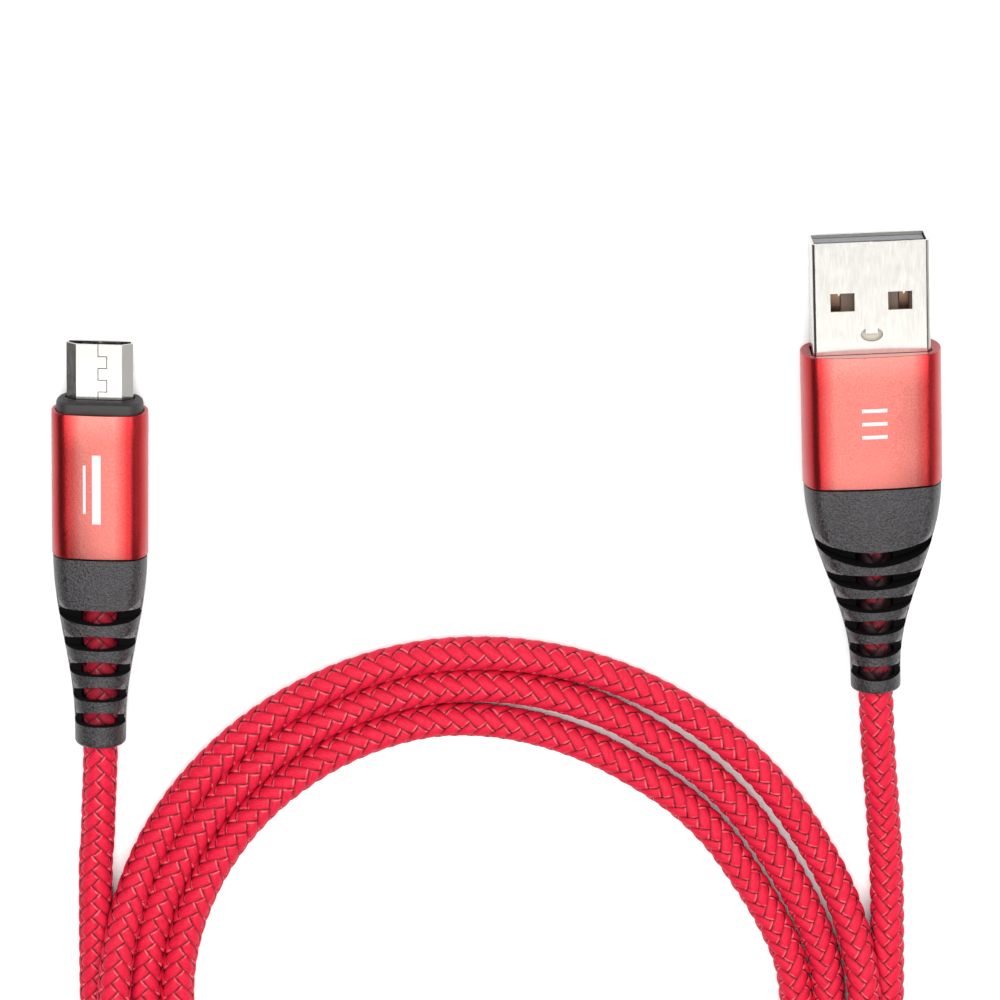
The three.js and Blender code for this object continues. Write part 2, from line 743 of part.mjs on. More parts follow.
// ---- cord ----
function cordTube(name, plug, group, route, endX) {
  group.updateMatrixWorld(true);
  const middle = plug.sleeveHeight / 2;
  const inPlug = (y) => new THREE.Vector3(0, y, middle).applyMatrix4(group.matrixWorld);
  const points = [
    inPlug(CORD_FRONT),
    inPlug(-plug.bootLength / 2),
    inPlug(-plug.bootLength),
    ...route.map((point) => new THREE.Vector3(...point)),
    new THREE.Vector3(endX, ROUTE_END_Y, ROUTE_END_HEIGHT),
  ];
  const curve = new THREE.CatmullRomCurve3(points, false, 'centripetal');
  const section = new THREE.Shape();
  for (let i = 0; i < CORD_SIDES; i += 1) {
    const angle = 2 * Math.PI * (i + 0.5) / CORD_SIDES;
    const x = CORD_RADIUS * Math.cos(angle);
    const y = CORD_RADIUS * Math.sin(angle);
    if (i === 0) section.moveTo(x, y);
    else section.lineTo(x, y);
  }
  const geometry = new THREE.ExtrudeGeometry(section, {
    extrudePath: curve,
    steps: Math.max(CORD_LEAST_STEPS, Math.round(curve.getLength() / CORD_STEP)),
    bevelEnabled: false,
  });
  return named(name, toSolid(geometry), braid());
}

function coilRing() {
  const profile = [
    [COIL_INNER_RADIUS, 0],
    [COIL_OUTER_RADIUS, 0],
    [COIL_OUTER_RADIUS, COIL_HEIGHT - COIL_EDGE],
    [COIL_OUTER_RADIUS - COIL_EDGE, COIL_HEIGHT],
    [COIL_INNER_RADIUS + COIL_EDGE, COIL_HEIGHT],
    [COIL_INNER_RADIUS, COIL_HEIGHT - COIL_EDGE],
    [COIL_INNER_RADIUS, 0],
  ].map(([radius, height]) => new THREE.Vector2(radius, height));
  const geometry = new THREE.LatheGeometry(profile, COIL_STEPS);
  geometry.rotateX(Math.PI / 2);
  geometry.translate(COIL_CENTRE[0], COIL_CENTRE[1], 0);
  return named('cord_coil', toSolid(geometry), braid());
}

// ---- assembly ----
// A plug is turned, then moved until its box touches one corner of the layout rectangle.
function placePlug(group, turn, side) {
  group.rotation.z = THREE.MathUtils.degToRad(turn);
  group.updateMatrixWorld(true);
  const bounds = new THREE.Box3().setFromObject(group, true);
  const reachX = side > 0 ? bounds.max.x : bounds.min.x;
  const reachY = side > 0 ? bounds.max.y : bounds.min.y;
  group.position.set(side * PLUG_SPAN_X / 2 - reachX, side * PLUG_SPAN_Y / 2 - reachY, 0);
  return group;
}

const cable = new THREE.Group();
const usbA = placePlug(usbAPlug(USB_A), USB_A_TURN, 1);
const micro = placePlug(microPlug(MICRO), MICRO_TURN, -1);
cable.add(usbA, micro);
cable.add(cordTube('cord_tail_usb_a', USB_A, usbA, USB_A_ROUTE, USB_A_ROUTE_END_X));
cable.add(cordTube('cord_tail_micro', MICRO, micro, MICRO_ROUTE, MICRO_ROUTE_END_X));
cable.add(coilRing());

export default cable;
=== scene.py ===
"""Looks of the braided charging cable: camera, cord, plugs, materials, floor and lights.

Each plug is drawn in millimetres in its own frame, as its CAD is: +Y towards its tip, x = 0 on
its axis, y = 0 at the back end of its sleeve and z = 0 on the table. The plug's matrix then
takes it to its place. The cord's route is in millimetres in the row frame.
"""

import json
import math

import bmesh
import bpy
import numpy as np
from mathutils import Matrix, Vector


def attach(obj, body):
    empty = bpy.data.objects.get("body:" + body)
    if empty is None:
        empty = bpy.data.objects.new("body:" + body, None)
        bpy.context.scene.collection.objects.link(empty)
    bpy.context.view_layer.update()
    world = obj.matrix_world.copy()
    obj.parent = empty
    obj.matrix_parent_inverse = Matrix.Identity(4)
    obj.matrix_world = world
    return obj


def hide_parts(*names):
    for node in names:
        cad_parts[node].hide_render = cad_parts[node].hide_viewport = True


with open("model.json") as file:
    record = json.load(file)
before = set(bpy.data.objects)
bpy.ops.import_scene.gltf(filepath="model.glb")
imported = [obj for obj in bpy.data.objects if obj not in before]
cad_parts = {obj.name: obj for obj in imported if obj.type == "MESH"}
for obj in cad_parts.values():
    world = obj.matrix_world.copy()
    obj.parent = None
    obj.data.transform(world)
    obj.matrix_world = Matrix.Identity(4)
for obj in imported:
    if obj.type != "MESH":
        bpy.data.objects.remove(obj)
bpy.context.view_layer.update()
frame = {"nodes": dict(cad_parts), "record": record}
MM = 0.001

# ---- camera ----
CAMERA_TARGET = Vector((0.5, -0.54, 4.0)) * MM
CAMERA_TILT = math.radians(17.0)
CAMERA_DISTANCE = 0.4
CAMERA_LENS = 139.0
CAMERA_SENSOR = 36.0

# ---- the cord's route, the same points as in part.mjs ----
CORD_DIAMETER = 3.5
CORD_FRONT = -0.55
CORD_OUT = 0.1
# how far to each side the cord's painted shade is lighter in the USB-A boot's first slot, and how much
# farther in each later slot
LIT_FIRST = 0.6
LIT_GROWTH = 0.14
COIL_CENTRE = (-0.7, -59.0)
MICRO_ROUTE = [
    (-42.0, -31.5, 2.75),
    (-42.3, -35.5, 2.35),
    (-42.6, -39.5, 1.85),
    (-42.8, -41.0, 1.75),
    (-43.0, -46.5, 1.75),
    (-43.15, -52.5, 1.75),
]
USB_A_ROUTE = [
    (42.35, -52.5, 1.75),
    (42.15, -46.5, 1.75),
    (41.85, -41.0, 1.75),
    (41.6, -38.5, 1.9),
    (41.15, -34.0, 2.5),
    (40.65, -29.5, 3.2),
    (40.25, -25.0, 3.8),
]
# The coil's three and a half turns: angle round its centre in degrees, radius, and height of the
# cord's middle, which rises where the cord climbs over an earlier turn.
COIL_KEYS = [
    (180, 42.5, 1.75), (230, 42.45, 1.75), (270, 42.1, 1.75), (310, 41.5, 1.75),
    (325, 41.2, 1.95), (335, 41.05, 2.5), (350, 40.75, 3.6), (360, 40.62, 4.15),
    (368, 40.5, 3.6), (378, 40.2, 2.2), (390, 39.8, 1.75), (420, 40.26, 1.75),
    (435, 40.6, 1.75), (466, 41.07, 1.75), (505, 40.85, 1.75), (515, 40.75, 1.9),
    (525, 40.6, 3.3), (534, 40.5, 4.3), (540, 40.4, 4.5), (560, 39.7, 3.9),
    (580, 39.1, 2.3), (590, 38.95, 1.8), (630, 38.6, 1.75), (690, 37.4, 1.75),
    (728, 36.8, 1.75), (750, 35.6, 1.75), (780, 36.0, 1.75), (795, 36.8, 1.75),
    (826, 37.55, 1.75), (895, 37.4, 1.75), (920, 36.5, 1.75), (950, 35.45, 1.75),
    (990, 35.2, 1.75), (1050, 34.0, 1.75), (1088, 33.15, 1.75), (1110, 31.7, 1.75),
    (1140, 31.8, 1.75), (1155, 32.5, 1.75), (1186, 33.95, 1.75), (1255, 33.9, 1.75),
    (1268, 33.4, 2.2), (1280, 33.3, 3.5), (1300, 34.3, 5.0), (1320, 36.3, 5.3),
    (1340, 38.6, 5.35), (1360, 41.0, 5.3), (1380, 43.5, 4.7), (1400, 45.0, 2.4),
    (1412, 44.7, 1.75), (1430, 43.8, 1.75), (1440, 43.2, 1.75),
]
POINTS_PER_TURN = 36
LINE_STEP = 0.25

# ---- braid ----
CARRIERS = 6
BRAID_PERIOD = 1.8
YARN_WIDTH = 1.04
YARN_DOME = 0.17
DOME_POWER = 2.2
YARN_WAVE = 0.13
YARN_SQUARENESS = 1.7
YARN_NARROWING = 0.2
STEPS_PER_CROSSING = 4
YARN_ACROSS = 6
CORE_RADIUS = 1.55
CORE_SIDES = 14
CORE_STEP = 1.5
BRAID_TURN = math.radians(20)
OUTER_RADIUS = 1.84
BRAID_LIFT = OUTER_RADIUS - CORD_DIAMETER / 2
# shifts that give each yarn its own filaments, across and along it
FILAMENT_SHIFT = (3, 7)

# ---- plugs: sizes that the frame doesn't give by a box ----
USB_A = {
    "prefix": "usb_a",
    "flat": 10.6,
    "crown": 0.45,
    "wall": 0.6,
    "front_wall": 0.8,
    "mouth": (12.3, 4.8, 0.65),
    "boot_taper": 20.5,
    "boot_end_radius": 2.62,
    "slots": 6,
    "slot_first": 7.77,
    "slot_pitch": 2.55,
    "slot_bow_first": 1.7,
    "slot_bow_last": 0.0,
    "step_first": 2.0,
    "step_rest": 1.0,
}
MICRO = {
    "prefix": "micro",
    "flat": 6.0,
    "crown": 0.2,
    "wall": 0.4,
    "front_wall": 0.0,
    "mouth": None,
    "boot_taper": 19.0,
    "boot_end_radius": 2.7,
    "slots": 5,
    "slot_first": 6.45,
    "slot_pitch": 2.82,
    "slot_bow_first": 0.4,
    "slot_bow_last": -0.5,
    "step_first": 1.2,
    "step_rest": 0.7,
}
SLOT_WIDTH = 1.65
SLOT_BOW_DECAY = 0.33
SLOT_REACH = 0.12
SLOT_BLUNTNESS = 0.7
SLOT_STEPS = 24
STEP_START = 0.6
STEP_DEPTH = 0.12
STEP_CURVE = 1.4
STEP_OVERCUT = 0.03
STEP_STEPS = 8
SIDE_WEB = 1.0
BOOT_INSET = 0.1
BOOT_GAP = 0.15
BOOT_EDGE = 0.35
BOOT_STATIONS = 64
EDGE_STATIONS = 6
BORE_RADIUS = CORD_DIAMETER / 2 + 0.25
# how far light reaches behind a slot's front edge, and how dark the cord's painted shade still is there
LIT_IN_SLOTS = ((USB_A, 0.9, 0.75), (MICRO, SLOT_WIDTH, 0.62))
EDGE_ROUND = 0.12
REAR_CHAMFER = 0.04
FRONT_CHAMFER = 0.035
MOUTH_LIP = 0.02
MOUTH_LIP_SHARE = 0.15
MOUTH_EDGE = 0.05
INNER_EDGE = 0.03
INNER_DEPTH = 2.5
SIDE_STEPS = 28
FLAT_STEPS = 16
FAR_OUTSIDE = 50.0
HALVINGS = 40


# ======================================================================= camera
def make_camera():
    data = bpy.data.cameras.new("camera")
    data.lens = CAMERA_LENS
    data.sensor_width = CAMERA_SENSOR
    data.clip_start = 0.01
    camera = bpy.data.objects.new("camera", data)
    bpy.context.scene.collection.objects.link(camera)
    away = Vector((0, math.sin(CAMERA_TILT), math.cos(CAMERA_TILT)))
    camera.location = CAMERA_TARGET + CAMERA_DISTANCE * away
    camera.rotation_euler = (-CAMERA_TILT, 0, 0)
    bpy.context.scene.camera = camera


make_camera()


# ======================================================================= mesh helpers
def mesh_object(name, vertices_mm, faces, material, matrix=None, sharp=None):
    mesh = bpy.data.meshes.new(name)
    mesh.from_pydata((np.asarray(vertices_mm, float) * MM).tolist(), [], faces)
    mesh.polygons.foreach_set("use_smooth", [True] * len(mesh.polygons))
    if sharp is not None:
        mesh.set_sharp_from_angle(angle=math.radians(sharp))
    mesh.materials.append(material)
    mesh.update()
    thing = bpy.data.objects.new(name, mesh)
    bpy.context.scene.collection.objects.link(thing)
    if matrix is not None:
        thing.matrix_world = matrix
    return thing


def ring_faces(rings, points):
    """Quads between closed rings of points that follow one another, with the first vertex at 0."""
    faces = []
    for ring in range(rings - 1):
        for i in range(points):
            j = (i + 1) % points
            a = ring * points
            b = a + points
            faces.append((a + i, a + j, b + j, b + i))
    return faces


def curve_through(keys, at):
    """Cubic through the keys' values that doesn't overshoot (monotone between the keys)."""
    x = np.array([key[0] for key in keys], float)
    columns = []
    for k in range(1, len(keys[0])):
        y = np.array([key[k] for key in keys], float)
        step = np.diff(x)
        slope = np.diff(y) / step
        tangent = np.zeros_like(y)
        same = slope[:-1] * slope[1:] > 0
        total = np.where(same, slope[:-1] + slope[1:], 1)
        mean = np.where(same, 2 * slope[:-1] * slope[1:] / total, 0)
        tangent[1:-1] = mean
        tangent[0] = slope[0]
        tangent[-1] = slope[-1]
        i = np.clip(np.searchsorted(x, at, side="right") - 1, 0, len(step) - 1)
        t = (at - x[i]) / step[i]
        columns.append(
            (2 * t**3 - 3 * t**2 + 1) * y[i]
            + (t**3 - 2 * t**2 + t) * step[i] * tangent[i]
            + (3 * t**2 - 2 * t**3) * y[i + 1]
            + (t**3 - t**2) * step[i] * tangent[i + 1]
        )
    return np.stack(columns, axis=1)


def spline_line(points, step):
    """A centripetal Catmull-Rom curve through the points, with points about step apart."""
    p = np.asarray(points, float)
    p = np.vstack([2 * p[0] - p[1], p, 2 * p[-1] - p[-2]])
    out = []
    for a, b, c, d in zip(p[:-3], p[1:-2], p[2:-1], p[3:]):
        t0 = 0.0
        t1 = t0 + np.linalg.norm(b - a) ** 0.5
        t2 = t1 + np.linalg.norm(c - b) ** 0.5
        t3 = t2 + np.linalg.norm(d - c) ** 0.5
        count = max(2, int(np.linalg.norm(c - b) / step * 4))
        t = np.linspace(t1, t2, count, endpoint=False)[:, None]
        ab = (t1 - t) / (t1 - t0) * a + (t - t0) / (t1 - t0) * b
        bc = (t2 - t) / (t2 - t1) * b + (t - t1) / (t2 - t1) * c
        cd = (t3 - t) / (t3 - t2) * c + (t - t2) / (t3 - t2) * d
        abc = (t2 - t) / (t2 - t0) * ab + (t - t0) / (t2 - t0) * bc
        bcd = (t3 - t) / (t3 - t1) * bc + (t - t1) / (t3 - t1) * cd
        out.append((t2 - t) / (t2 - t1) * abc + (t - t1) / (t2 - t1) * bcd)
    line = np.vstack(out + [p[-2:-1]])
    along = np.concatenate([[0], np.cumsum(np.linalg.norm(np.diff(line, axis=0), axis=1))])
    at = np.linspace(0, along[-1], int(along[-1] / step) + 1)
    return np.stack([np.interp(at, along, line[:, k]) for k in range(3)], axis=1)


# ======================================================================= plug frames
def mount(name):
    return next(m for m in frame["record"]["mounts"] if m["name"] == name)


def node_points(node):
    """A CAD node's vertices in the row frame."""
    mesh = frame["nodes"][node].data
    points = np.zeros(len(mesh.vertices) * 3)
    mesh.vertices.foreach_get("co", points)
    return points.reshape(-1, 3)


def plug_frame(prefix):
    """The plug's own frame: +Y towards its tip, origin at the back end of its sleeve, on the table."""
    stop = mount(f"{prefix}_stop_face")
    forward = np.array(stop["axis"], float)
    forward /= np.linalg.norm(forward)
    back = (node_points(f"{prefix}_sleeve") @ forward).min()
    origin = np.array(stop["pos_m"], float)
    origin = origin + (back - origin @ forward) * forward
    side = np.cross(forward, (0, 0, 1))
    matrix = Matrix.Identity(4)
    matrix.col[0][:3] = side
    matrix.col[1][:3] = forward
    matrix.col[3][:3] = (origin[0], origin[1], 0)
    return matrix


def local_box(node, matrix):
    """Lowest and highest corner of a CAD node in its plug's frame, in millimetres."""
    turned = np.array(matrix.inverted())
    points = node_points(node) @ turned[:3, :3].T + turned[:3, 3]
    return points.min(0) / MM, points.max(0) / MM


for plug in (USB_A, MICRO):
    plug["matrix"] = plug_frame(plug["prefix"])
    low, high = local_box(f"{plug['prefix']}_sleeve", plug["matrix"])
    plug["length"] = high[1]
    plug["height"] = high[2] - low[2]
    plug["side"] = (high[0] - low[0] - plug["flat"]) / 2
    plug["middle"] = (high[2] + low[2]) / 2
    low, high = local_box(f"{plug['prefix']}_boot", plug["matrix"])
    plug["boot_length"] = -low[1]


def in_plug(plug, y):
    """A point on the plug's axis, in millimetres in the row frame."""
    return np.array(plug["matrix"] @ (Vector((0, y, plug["middle"])) * MM)) / MM


# ======================================================================= materials
def new_material(name, colour, roughness, metallic=0.0, sockets=None):
    """A Principled material and its nodes. The constant sockets are set on the shader itself."""
    material = bpy.data.materials.new(name)
    material.use_nodes = True
    nodes = material.node_tree.nodes
    shader = nodes["Principled BSDF"]
    shader.inputs["Base Color"].default_value = (*colour, 1)
    shader.inputs["Roughness"].default_value = roughness
    shader.inputs["Metallic"].default_value = metallic
    for socket, value in (sockets or {}).items():
        shader.inputs[socket].default_value = value
    return material, nodes, material.node_tree.links, shader


def object_coordinates(nodes, links, scale=1000.0):
    """The piece's own coordinates, in millimetres."""
    place = nodes.new("ShaderNodeTexCoord")
    mapping = nodes.new("ShaderNodeMapping")
    mapping.inputs["Scale"].default_value = (scale, scale, scale)
    links.new(place.outputs["Object"], mapping.inputs["Vector"])
    return mapping.outputs["Vector"]


def noise(nodes, links, vector, scale, detail=3.0, roughness=0.55):
    texture = nodes.new("ShaderNodeTexNoise")
    texture.inputs["Scale"].default_value = scale
    texture.inputs["Detail"].default_value = detail
    texture.inputs["Roughness"].default_value = roughness
    links.new(vector, texture.inputs["Vector"])
    return texture.outputs["Fac"]


def spread(nodes, links, value, low, high, low_at=0.3, high_at=0.7):
    """The value, stretched from low_at..high_at to low..high."""
    stretch = nodes.new("ShaderNodeMapRange")
    stretch.inputs["From Min"].default_value = low_at
    stretch.inputs["From Max"].default_value = high_at
    stretch.inputs["To Min"].default_value = low
    stretch.inputs["To Max"].default_value = high
    links.new(value, stretch.inputs["Value"])
    return stretch.outputs["Result"]


def mixed(nodes, links, factor, first, second):
    """A colour between two colours or sockets."""
    mix = nodes.new("ShaderNodeMix")
    mix.data_type = "RGBA"
    links.new(factor, mix.inputs["Factor"])
    for socket, colour in ((mix.inputs["A"], first), (mix.inputs["B"], second)):
        if isinstance(colour, tuple):
            socket.default_value = (*colour, 1)
        else:
            links.new(colour, socket)
    return mix.outputs["Result"]


def within(nodes, links, value, middle, reach):
    """1 where the value is nearer to the middle than the reach, 0 elsewhere."""
    away = math_node(nodes, links, "ABSOLUTE", math_node(nodes, links, "SUBTRACT", value, middle))
    return math_node(nodes, links, "LESS_THAN", away, reach)


def bump(nodes, links, shader, height, distance_mm, strength=1.0):
    bumped = nodes.new("ShaderNodeBump")
    bumped.inputs["Distance"].default_value = distance_mm * MM
    bumped.inputs["Strength"].default_value = strength
    links.new(height, bumped.inputs["Height"])
    links.new(bumped.outputs["Normal"], shader.inputs["Normal"])


def math_node(nodes, links, operation, first, second=None):
    node = nodes.new("ShaderNodeMath")
    node.operation = operation
    for socket, value in zip(node.inputs, (first, second)):
        if value is None:
            continue
        if isinstance(value, (int, float)):
            socket.default_value = value
        else:
            links.new(value, socket)
    return node.outputs["Value"]


# The flats' paler colours are a painted highlight; the sides' colours are the metal's own deep red. Each
# has a darker copy for the grain.
SLEEVE_FLAT_HIGHLIGHT = (0.44, 0.142, 0.116)
SLEEVE_SIDE = (0.4, 0.027, 0.03)
SLEEVE_FLAT_HIGHLIGHT_DARK = (0.36, 0.09, 0.08)
SLEEVE_SIDE_DARK = (0.3, 0.016, 0.018)
PALE_INK = (0.62, 0.5, 0.52)
FLAT_FADE = (-1.3, 0.1)
PRINT_ABOVE = 0.8


def anodised_red(marks, height, flat):
    """Bead-blasted red anodised aluminium: deep red sides, a painted highlight that makes the flats paler,
    plain pale printed bars.
    """
    material, nodes, links, shader = new_material("anodised_red", SLEEVE_SIDE, 0.34, 0.97)
    vector = object_coordinates(nodes, links)
    grain = noise(nodes, links, vector, 5.5, 2.0, 0.5)
    cloud = noise(nodes, links, vector, 0.35, 2.0)
    split = nodes.new("ShaderNodeSeparateXYZ")
    links.new(vector, split.inputs["Vector"])
    away = math_node(nodes, links, "ABSOLUTE", split.outputs["X"])
    # on_side is 0 on the flat, under the painted highlight, and 1 on the sides
    on_side = spread(nodes, links, away, 0.0, 1.0, flat / 2 + FLAT_FADE[0], flat / 2 + FLAT_FADE[1])
    metal = mixed(nodes, links, on_side, SLEEVE_FLAT_HIGHLIGHT, SLEEVE_SIDE)
    darker = mixed(nodes, links, on_side, SLEEVE_FLAT_HIGHLIGHT_DARK, SLEEVE_SIDE_DARK)
    metal = mixed(nodes, links, spread(nodes, links, grain, 1.0, 0.0, 0.3, 0.7), metal, darker)
    metal = mixed(nodes, links, spread(nodes, links, cloud, 0.0, 0.35), metal, darker)
    ink = None
    for x, y, width, length in marks:
        bar = math_node(nodes, links, "MULTIPLY",
                        within(nodes, links, split.outputs["X"], x, width / 2),
                        within(nodes, links, split.outputs["Y"], y, length / 2))
        ink = bar if ink is None else math_node(nodes, links, "MAXIMUM", ink, bar)
    on_top = math_node(nodes, links, "GREATER_THAN", split.outputs["Z"], height * PRINT_ABOVE)
    ink = math_node(nodes, links, "MULTIPLY", ink, on_top)
    colour = mixed(nodes, links, ink, metal, PALE_INK)
    links.new(colour, shader.inputs["Base Color"])
    links.new(spread(nodes, links, ink, 0.97, 0.0, 0.0, 1.0), shader.inputs["Metallic"])
    links.new(spread(nodes, links, grain, 0.31, 0.4), shader.inputs["Roughness"])
    bump(nodes, links, shader, grain, 0.014)
    return material


def nickel_plate(name, colour):
    """Bright plated sheet with a faint drawn grain and a few dull patches."""
    material, nodes, links, shader = new_material(name, colour, 0.16, 1.0)
    vector = object_coordinates(nodes, links)
    stretch = nodes.new("ShaderNodeMapping")
    stretch.inputs["Scale"].default_value = (1.0, 0.08, 1.0)
    links.new(vector, stretch.inputs["Vector"])
    drawn = noise(nodes, links, stretch.outputs["Vector"], 9.0, 3.0)
    patches = noise(nodes, links, vector, 0.6, 3.0)
    dark = tuple(0.95 * c for c in colour)
    tinted = mixed(nodes, links, spread(nodes, links, patches, 0.0, 1.0), colour, dark)
    links.new(tinted, shader.inputs["Base Color"])
    links.new(spread(nodes, links, drawn, 0.13, 0.22), shader.inputs["Roughness"])
    bump(nodes, links, shader, drawn, 0.002)
    return material


# how far towards the tip the painted shade under the windows and the colour behind the round hole reach
WINDOW_END = 22.0
HOLE_END = 17.6
WINDOW_FADE = 1.0
HOLE_FADE = 0.5


def plastic(name, colour, roughness, grain_mm=0.15, depth_mm=0.01, speckle=0.25, inside=None, sockets=None):
    """Moulded plastic or rubber with a fine matt texture. Inside is its two colours deep in a plug: a
    painted shade under the windows and another colour behind the round hole.
    """
    material, nodes, links, shader = new_material(name, colour, roughness, sockets=sockets)
    vector = object_coordinates(nodes, links)
    grain = noise(nodes, links, vector, 1.0 / grain_mm, 2.0, 0.6)
    cloud = noise(nodes, links, vector, 0.5, 3.0)
    light = tuple(min(1.0, c * (1 + speckle)) for c in colour)
    dark = tuple(c * (1 - speckle) for c in colour)
    tint = mixed(nodes, links, spread(nodes, links, grain, 0.0, 1.0, 0.42, 0.6), dark, light)
    tint = mixed(nodes, links, spread(nodes, links, cloud, 0.0, 0.3), tint, dark)
    if inside:
        tint = shaded_inside(nodes, links, vector, tint, *inside)
    links.new(tint, shader.inputs["Base Color"])
    links.new(spread(nodes, links, grain, roughness - 0.08, roughness + 0.08), shader.inputs["Roughness"])
    bump(nodes, links, shader, grain, depth_mm)
    return material


def shaded_inside(nodes, links, vector, tint, dark, behind_hole):
    """The tint at a plug's mouth, a painted shade under its windows and another colour behind its round
    hole.
    """
    split = nodes.new("ShaderNodeSeparateXYZ")
    links.new(vector, split.inputs["Vector"])
    at_hole = spread(nodes, links, split.outputs["Y"], 1.0, 0.0, HOLE_END, HOLE_END + HOLE_FADE)
    at_mouth = spread(nodes, links, split.outputs["Y"], 0.0, 1.0, WINDOW_END, WINDOW_END + WINDOW_FADE)
    inner = mixed(nodes, links, at_hole, dark, behind_hole)
    return mixed(nodes, links, at_mouth, inner, tint)


def plated(name, colour, roughness, inside=None):
    """Gold or spring steel, with light wear in random patches."""
    material, nodes, links, shader = new_material(name, colour, roughness, 1.0)
    vector = object_coordinates(nodes, links)
    wear = noise(nodes, links, vector, 2.5, 4.0)
    worn = tuple(0.75 * c for c in colour)
    tint = mixed(nodes, links, spread(nodes, links, wear, 0.0, 1.0), colour, worn)
    # inside gives a painted shade deep in the plug, under the windows, and a colour behind the round hole
    if inside:
        tint = shaded_inside(nodes, links, vector, tint, *inside)
    links.new(tint, shader.inputs["Base Color"])
    links.new(spread(nodes, links, wear, roughness - 0.06, roughness + 0.1), shader.inputs["Roughness"])
    return material


def attribute(nodes, name):
    """A value that the mesh carries at its vertices."""
    node = nodes.new("ShaderNodeAttribute")
    node.attribute_name = name
    return node.outputs["Fac"]


def braided_nylon():
    """Nylon yarn: fine filaments, painted shade along the yarns' edges and where a yarn dips under, a
    painted glint just before it dips, and painted shade inside the boots.
    """
    material, nodes, links, shader = new_material(
        "braided_nylon", (0.5, 0.006, 0.03), 0.6, sockets={"Specular IOR Level": 0.18})
    uv = nodes.new("ShaderNodeUVMap")
    uv.uv_map = "yarn"
    split = nodes.new("ShaderNodeSeparateXYZ")
    links.new(uv.outputs["UV"], split.inputs["Vector"])
    combine = nodes.new("ShaderNodeCombineXYZ")
    links.new(math_node(nodes, links, "MULTIPLY", split.outputs["X"], 7.0), combine.inputs["X"])
    links.new(math_node(nodes, links, "MULTIPLY", split.outputs["Y"], 1.5), combine.inputs["Y"])
    filaments = noise(nodes, links, combine.outputs["Vector"], 1.0, 3.0, 0.6)
    cloud = noise(nodes, links, object_coordinates(nodes, links), 0.25, 3.0)
    tint = mixed(nodes, links, spread(nodes, links, filaments, 0.0, 1.0),
                 (0.4, 0.002, 0.02), (0.7, 0.014, 0.05))
    tint = mixed(nodes, links, spread(nodes, links, cloud, 0.0, 0.5), tint, (0.5, 0.006, 0.026))
    # painted shade along each yarn's edges, and on the core between the yarns
    edge_shade = spread(nodes, links, attribute(nodes, "across"), 0.0, 0.75, 0.62, 1.0)
    tint = mixed(nodes, links, edge_shade, tint, (0.16, 0.001, 0.006))
    over = attribute(nodes, "over")
    shine = noise(nodes, links, object_coordinates(nodes, links), 1.3, 1.0)
    # painted glint where a yarn begins to dip under the others
    glint = math_node(nodes, links, "MULTIPLY",
                      spread(nodes, links, over, 0.0, 1.0, 0.78, 0.68),
                      spread(nodes, links, shine, 0.1, 1.0, 0.4, 0.62))
    tint = mixed(nodes, links, glint, tint, (0.75, 0.1, 0.13))
    # painted shade where a yarn dips under the others, and on the core seen between the yarns
    low = spread(nodes, links, over, 0.0, 1.0, 0.66, 0.5)
    tint = mixed(nodes, links, low, tint, (0.06, 0.001, 0.003))
    # painted shade: the cord inside the boots is darkened nearly to black
    tint = mixed(nodes, links, attribute(nodes, "painted_cord_shade"), tint, (0.008, 0.001, 0.002))
    links.new(tint, shader.inputs["Base Color"])
    bump(nodes, links, shader, filaments, 0.03, 0.7)
    return material


NICKEL = nickel_plate("nickel_plate", (0.47, 0.457, 0.432))
# the gold's inside colours are both a painted shade, under the windows and behind the round hole
USB_A_GOLD = plated("gold_plate", (0.6, 0.42, 0.15), 0.35,
                    ((0.15, 0.09, 0.06), (0.15, 0.09, 0.06)))
GOLD = plated("micro_gold_plate", (0.6, 0.42, 0.15), 0.3)
STEEL = plated("spring_steel", (0.6, 0.6, 0.6), 0.3)
# inside: a painted shade under the windows, and a paler brown behind the round hole
INSULATOR = plastic("insulator_grey", (0.145, 0.147, 0.16), 0.5, 0.3, 0.004, 0.06,
                    ((0.18, 0.12, 0.085), (0.42, 0.37, 0.31)))
MICRO_INSULATOR = plastic("micro_insulator_black", (0.03, 0.03, 0.033), 0.5, 0.3, 0.004, 0.1)
BLACK_MOULD = plastic("black_mould", (0.012, 0.01, 0.01), 0.62, 0.25, 0.015, 0.3)
BOOT_RUBBER = plastic("boot_rubber", (0.018, 0.015, 0.0175), 0.42, 0.22, 0.12, 0.95)
BOOT_STEP = plastic("boot_rubber_step", (0.1, 0.086, 0.094), 0.5, 0.22, 0.12, 0.7)
# near-black rubber for the slot walls and the bore: painted shade, as these faces are the boot's own rubber
# in shadow
BOOT_SHADE_RUBBER = plastic("boot_rubber_painted_shade", (0.002, 0.0015, 0.002), 0.9, 0.2, 0.01, 0.3,
                      sockets={"Specular IOR Level": 0.15})
BRAID = braided_nylon()
WIRES = {
    "red": plastic("wire_red", (0.6, 0.03, 0.03), 0.45),
    "white": plastic("wire_white", (0.8, 0.8, 0.78), 0.45),
    "green": plastic("wire_green", (0.03, 0.3, 0.07), 0.45),
    "black": plastic("wire_black", (0.02, 0.02, 0.02), 0.45),
}
# plain printed bars on the sleeves: middle x and y, width and length
USB_A_MARKS = [(0.0, y, 2.6, 0.38) for y in (5.6, 7.0, 8.4)]
MICRO_MARKS = [(-0.1, 7.6, 0.9, 7.4), (-1.35, 7.6, 0.28, 5.2)]


